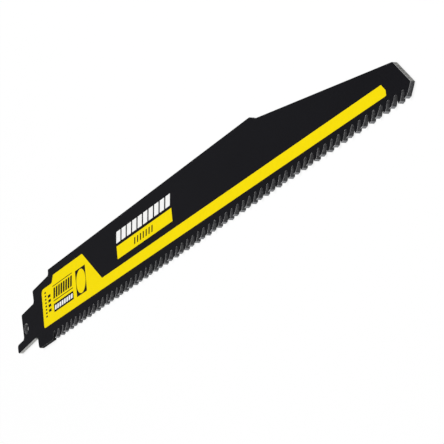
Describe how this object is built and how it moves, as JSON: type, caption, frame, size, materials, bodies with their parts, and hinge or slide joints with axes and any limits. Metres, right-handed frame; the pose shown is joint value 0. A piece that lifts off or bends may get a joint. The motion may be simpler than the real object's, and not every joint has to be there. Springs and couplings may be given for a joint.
{
  "type": "reciprocating saw blade",
  "caption": "Flat steel saw blade with a canted tang, pin hole and tongue, a row of set carbide-tipped teeth, a tapered back and a chamfered nose.",
  "frame": {"origin": "centre of the tang's pin hole, on the printed face of the strip", "axes": "+X along the row of teeth towards the nose, +Y towards the back edge, +Z out of the printed face"},
  "size_m": [0.3043, 0.0259, 0.002],
  "materials": {
    "coated_steel": "satin",
    "carbide": "ground",
    "yellow_ink": "satin ink",
    "white_ink": "satin ink"
  },
  "bodies": {
    "root": {"blade_body": "coated_steel", "carbide_tips_front": "carbide", "carbide_tips_back": "carbide", "yellow_print": "yellow_ink", "white_print": "white_ink"}
  },
  "joints": []
}
